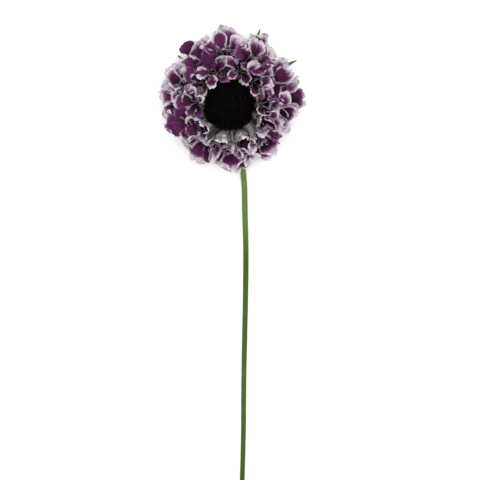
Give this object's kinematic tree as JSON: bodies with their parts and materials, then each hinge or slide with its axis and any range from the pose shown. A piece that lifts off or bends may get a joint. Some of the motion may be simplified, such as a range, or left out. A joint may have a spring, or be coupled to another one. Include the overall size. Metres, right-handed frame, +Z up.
{
  "type": "scabiosa flower",
  "caption": "Single cut scabiosa with a ruffled purple and white bloom, a dark bud dome, narrow green bracts and a bare stem, lying face up.",
  "frame": {"origin": "centre of the bounding box's underside, on the surface that the flower lies on", "axes": "+Y along the stem from its cut end towards the bloom, +Z up out of the surface"},
  "size_m": [0.0713, 0.2388, 0.0357],
  "materials": {
    "stem": "soft green plant skin, yellow-green near the head and deeper green below",
    "bracts": "matte olive green, finely hairy",
    "petals": "velvety deep purple with white to lilac margins",
    "buds": "near black, faintly warm, matte"
  },
  "bodies": {
    "root": {"stem": "stem", "involucre": "bracts", "florets": "petals", "bud_dome": "buds"}
  },
  "joints": []
}
